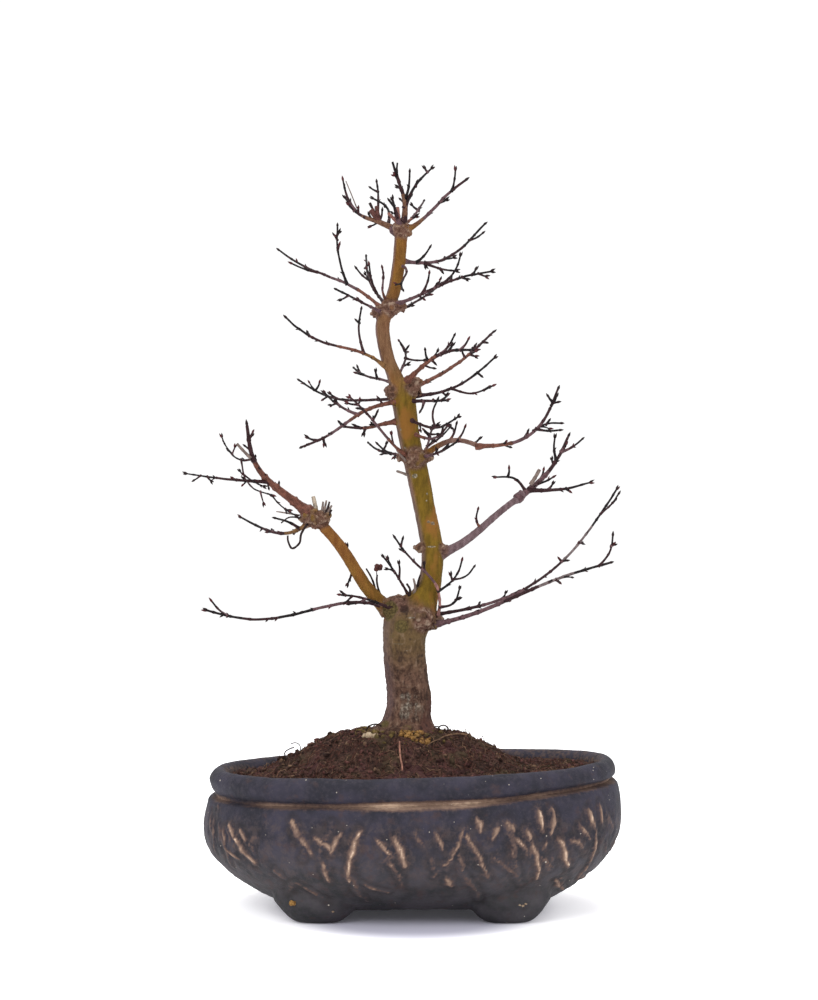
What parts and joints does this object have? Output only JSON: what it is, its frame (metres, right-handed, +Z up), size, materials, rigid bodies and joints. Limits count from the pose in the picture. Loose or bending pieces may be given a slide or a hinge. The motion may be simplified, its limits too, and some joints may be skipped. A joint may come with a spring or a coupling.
{
  "type": "leafless japanese maple bonsai in an oval pot",
  "caption": "Bare miniature tree with a short stout trunk, slender leader and fine branching twigs, kept as a living ornament in a shallow oval footed pot",
  "frame": {"origin": "middle of the pot on the surface its feet stand on", "axes": "+Z up, +X to the right seen from the front, -Y towards the viewer"},
  "size_m": [0.2594, 0.164, 0.4452],
  "materials": {
    "bough_left": "bark",
    "bough_mid_right": "bark",
    "bough_upper_right": "bark",
    "pot": "matt, hand wiped",
    "soil": "damp and crumbly",
    "trunk": "rough bark",
    "twigs_back_high": "thin bark",
    "twigs_back_left": "thin bark",
    "twigs_back_low": "thin bark",
    "twigs_back_middle": "thin bark",
    "twigs_fork": "thin bark",
    "twigs_front_left": "thin bark",
    "twigs_high_front": "thin bark",
    "twigs_high_left": "thin bark",
    "twigs_high_left_back": "thin bark",
    "twigs_high_left_front": "thin bark",
    "twigs_high_left_low": "thin bark",
    "twigs_high_right": "thin bark",
    "twigs_high_right_back": "thin bark",
    "twigs_left_lower": "thin bark",
    "twigs_left_upper": "thin bark",
    "twigs_low_left": "thin bark",
    "twigs_low_right": "thin bark",
    "twigs_low_right_back": "thin bark",
    "twigs_mid_left": "thin bark",
    "twigs_mid_left_back": "thin bark",
    "twigs_mid_left_low": "thin bark",
    "twigs_mid_right": "thin bark",
    "twigs_right_low": "thin bark",
    "twigs_right_low_front": "thin bark",
    "twigs_right_stub": "thin bark",
    "twigs_stump_left": "thin bark",
    "twigs_stump_top": "thin bark",
    "twigs_top": "thin bark",
    "twigs_top_back": "thin bark",
    "twigs_top_front": "thin bark",
    "twigs_top_left": "thin bark",
    "twigs_top_left_front": "thin bark",
    "twigs_top_right": "thin bark",
    "twigs_top_right_low": "thin bark",
    "twigs_upper_right": "thin bark",
    "twigs_upper_right_back": "thin bark",
    "twigs_upper_right_front": "thin bark",
    "twigs_whorl_left": "thin bark",
    "twigs_whorl_right": "thin bark",
    "twigs_whorl_right_back": "thin bark",
    "twigs_whorl_right_front": "thin bark",
    "twigs_whorl_top": "thin bark"
  },
  "bodies": {
    "root": {"bough_left": "bough_left", "bough_mid_right": "bough_mid_right", "bough_upper_right": "bough_upper_right", "pot": "pot", "soil": "soil", "trunk": "trunk", "twigs_back_high": "twigs_back_high", "twigs_back_left": "twigs_back_left", "twigs_back_low": "twigs_back_low", "twigs_back_middle": "twigs_back_middle", "twigs_fork": "twigs_fork", "twigs_front_left": "twigs_front_left", "twigs_high_front": "twigs_high_front", "twigs_high_left": "twigs_high_left", "twigs_high_left_back": "twigs_high_left_back", "twigs_high_left_front": "twigs_high_left_front", "twigs_high_left_low": "twigs_high_left_low", "twigs_high_right": "twigs_high_right", "twigs_high_right_back": "twigs_high_right_back", "twigs_left_lower": "twigs_left_lower", "twigs_left_upper": "twigs_left_upper", "twigs_low_left": "twigs_low_left", "twigs_low_right": "twigs_low_right", "twigs_low_right_back": "twigs_low_right_back", "twigs_mid_left": "twigs_mid_left", "twigs_mid_left_back": "twigs_mid_left_back", "twigs_mid_left_low": "twigs_mid_left_low", "twigs_mid_right": "twigs_mid_right", "twigs_right_low": "twigs_right_low", "twigs_right_low_front": "twigs_right_low_front", "twigs_right_stub": "twigs_right_stub", "twigs_stump_left": "twigs_stump_left", "twigs_stump_top": "twigs_stump_top", "twigs_top": "twigs_top", "twigs_top_back": "twigs_top_back", "twigs_top_front": "twigs_top_front", "twigs_top_left": "twigs_top_left", "twigs_top_left_front": "twigs_top_left_front", "twigs_top_right": "twigs_top_right", "twigs_top_right_low": "twigs_top_right_low", "twigs_upper_right": "twigs_upper_right", "twigs_upper_right_back": "twigs_upper_right_back", "twigs_upper_right_front": "twigs_upper_right_front", "twigs_whorl_left": "twigs_whorl_left", "twigs_whorl_right": "twigs_whorl_right", "twigs_whorl_right_back": "twigs_whorl_right_back", "twigs_whorl_right_front": "twigs_whorl_right_front", "twigs_whorl_top": "twigs_whorl_top"}
  },
  "joints": []
}
